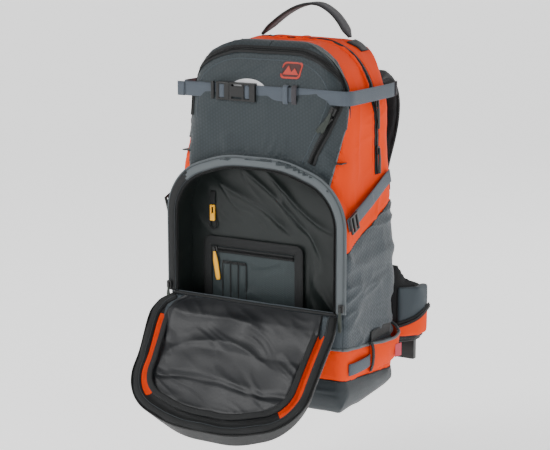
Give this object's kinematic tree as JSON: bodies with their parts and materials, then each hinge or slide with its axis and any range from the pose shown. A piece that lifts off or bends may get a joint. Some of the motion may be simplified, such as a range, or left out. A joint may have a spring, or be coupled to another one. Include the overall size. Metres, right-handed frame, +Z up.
{
  "type": "ski backpack",
  "caption": "Soft panel-loading ski backpack with a hinged front flap, inner organiser, goggle pocket, webbing straps, padded harness and hip belt.",
  "frame": {"origin": "hook point under the crown of the haul loop, from which the pack hangs", "axes": "+Z up through the hook, +Y towards the wearer, -Y towards the opening front, +X to the wearer's left"},
  "size_m": [0.3238, 0.4175, 0.5888],
  "materials": {
    "orange_fabric": "matte",
    "grey_fabric": "matte",
    "black_fabric": "matte",
    "lining_fabric": "satin",
    "webbing": "matte",
    "padding": "matte",
    "zip": "satin",
    "black_plastic": "satin",
    "yellow_rubber": "satin",
    "patch_rubber": "matte",
    "stiffener": "matte",
    "aluminium": "satin"
  },
  "bodies": {
    "pack": {"base_boot": "grey_fabric", "lower_band": "orange_fabric", "front_panel": "grey_fabric", "arch_surround": "grey_fabric", "back_panel": "black_fabric", "goggle_pocket": "grey_fabric", "upper_shell": "orange_fabric", "side_panels": "grey_fabric", "compartment_gusset": "lining_fabric", "compartment_lining": "lining_fabric", "front_zip_track": "zip", "organizer_binding": "black_fabric", "organizer_pocket": "black_fabric", "pen_slots": "black_fabric", "goggle_pocket_lining": "lining_fabric", "frame_sheet": "stiffener", "frame_stays": "aluminium", "hydration_sleeve": "lining_fabric", "goggle_zip": "zip", "main_zip_track": "zip", "front_strap_left": "webbing", "front_strap_right": "webbing", "front_buckle_female": "black_plastic", "strap_keepers": "webbing", "compression_straps": "webbing", "back_pads": "padding", "lumbar_pad": "padding", "shoulder_straps": "padding", "strap_webbing": "webbing", "ladder_locks": "black_plastic", "side_pockets": "orange_fabric", "gear_loops": "webbing", "patches": "patch_rubber", "strap_badge": "patch_rubber"},
    "flap": {"flap_shell": "grey_fabric", "flap_gusset": "orange_fabric", "flap_lining": "lining_fabric", "flap_binding": "zip"},
    "front_zip_slider_left": {"front_slider_left": "black_plastic"},
    "front_zip_slider_right": {"front_slider_right": "black_plastic"},
    "goggle_zip_slider": {"goggle_slider": "black_plastic"},
    "main_zip_slider_upper": {"main_slider_upper": "black_plastic"},
    "main_zip_slider_lower": {"main_slider_lower": "black_plastic"},
    "organizer_zip_slider": {"organizer_slider": "yellow_rubber"},
    "key_clip": {"key_clip": "yellow_rubber"},
    "buckle_male": {"front_buckle_male": "black_plastic"},
    "haul_loop": {"haul_loop": "webbing"},
    "hip_wing_left": {"hip_wing_left": "padding", "hip_pocket_left": "orange_fabric", "hip_webbing_left": "webbing", "hip_buckle_female": "black_plastic"},
    "hip_wing_right": {"hip_wing_right": "padding", "hip_pocket_right": "orange_fabric", "hip_webbing_right": "webbing", "hip_buckle_male": "black_plastic"},
    "sternum_strap": {"sternum_webbing": "webbing", "sternum_buckle": "black_plastic"},
    "tri_glide_left": {"tri_glide_left": "black_plastic"},
    "tri_glide_right": {"tri_glide_right": "black_plastic"}
  },
  "joints": [
    {"name": "flap_hinge", "type": "hinge", "parent": "pack", "child": "flap", "pos_m": [0, -0.1545, -0.41], "axis": [-1, 0, 0], "range_deg": [0, 137]},
    {"name": "front_zip_left", "type": "slide", "parent": "pack", "child": "front_zip_slider_left", "axis": [0, 0, 1], "range_m": [0, 0.065]},
    {"name": "front_zip_right", "type": "slide", "parent": "pack", "child": "front_zip_slider_right", "axis": [0, 0, 1], "range_m": [0, 0.065]},
    {"name": "goggle_zip_run", "type": "slide", "parent": "pack", "child": "goggle_zip_slider", "axis": [-0.4061, -0.1422, -0.9027], "range_m": [0, 0.045]},
    {"name": "main_zip_upper", "type": "slide", "parent": "pack", "child": "main_zip_slider_upper", "axis": [-0.0407, 0, 0.9992], "range_m": [0, 0.028]},
    {"name": "main_zip_lower", "type": "slide", "parent": "pack", "child": "main_zip_slider_lower", "axis": [-0.0407, 0, 0.9992], "range_m": [0, 0.025]},
    {"name": "organizer_zip_run", "type": "slide", "parent": "pack", "child": "organizer_zip_slider", "axis": [1, 0, 0], "range_m": [0, 0.128]},
    {"name": "key_clip_swing", "type": "hinge", "parent": "pack", "child": "key_clip", "pos_m": [-0.094, -0.1142, -0.283], "axis": [0, 1, 0], "range_deg": [-35, 35]},
    {"name": "front_buckle_release", "type": "slide", "parent": "pack", "child": "buckle_male", "axis": [-1, 0, 0], "range_m": [0, 0.025]},
    {"name": "haul_loop_fold", "type": "hinge", "parent": "pack", "child": "haul_loop", "pos_m": [0, 0, -0.046], "axis": [1, 0, 0], "range_deg": [-32, 32]},
    {"name": "hip_wing_left_swing", "type": "hinge", "parent": "pack", "child": "hip_wing_left", "pos_m": [0.1, 0.034, -0.457], "axis": [0, 0, -1], "range_deg": [-25, 8]},
    {"name": "hip_wing_right_swing", "type": "hinge", "parent": "pack", "child": "hip_wing_right", "pos_m": [-0.1, 0.034, -0.457], "axis": [0, 0, 1], "range_deg": [-25, 8]},
    {"name": "sternum_height", "type": "slide", "parent": "pack", "child": "sternum_strap", "axis": [0, 0, 1], "range_m": [-0.02, 0.02]},
    {"name": "compression_left", "type": "slide", "parent": "pack", "child": "tri_glide_left", "axis": [-0.0579, 0.9411, 0.333], "range_m": [0, 0.1]},
    {"name": "compression_right", "type": "slide", "parent": "pack", "child": "tri_glide_right", "axis": [0.0579, 0.9411, 0.333], "range_m": [0, 0.1]}
  ]
}
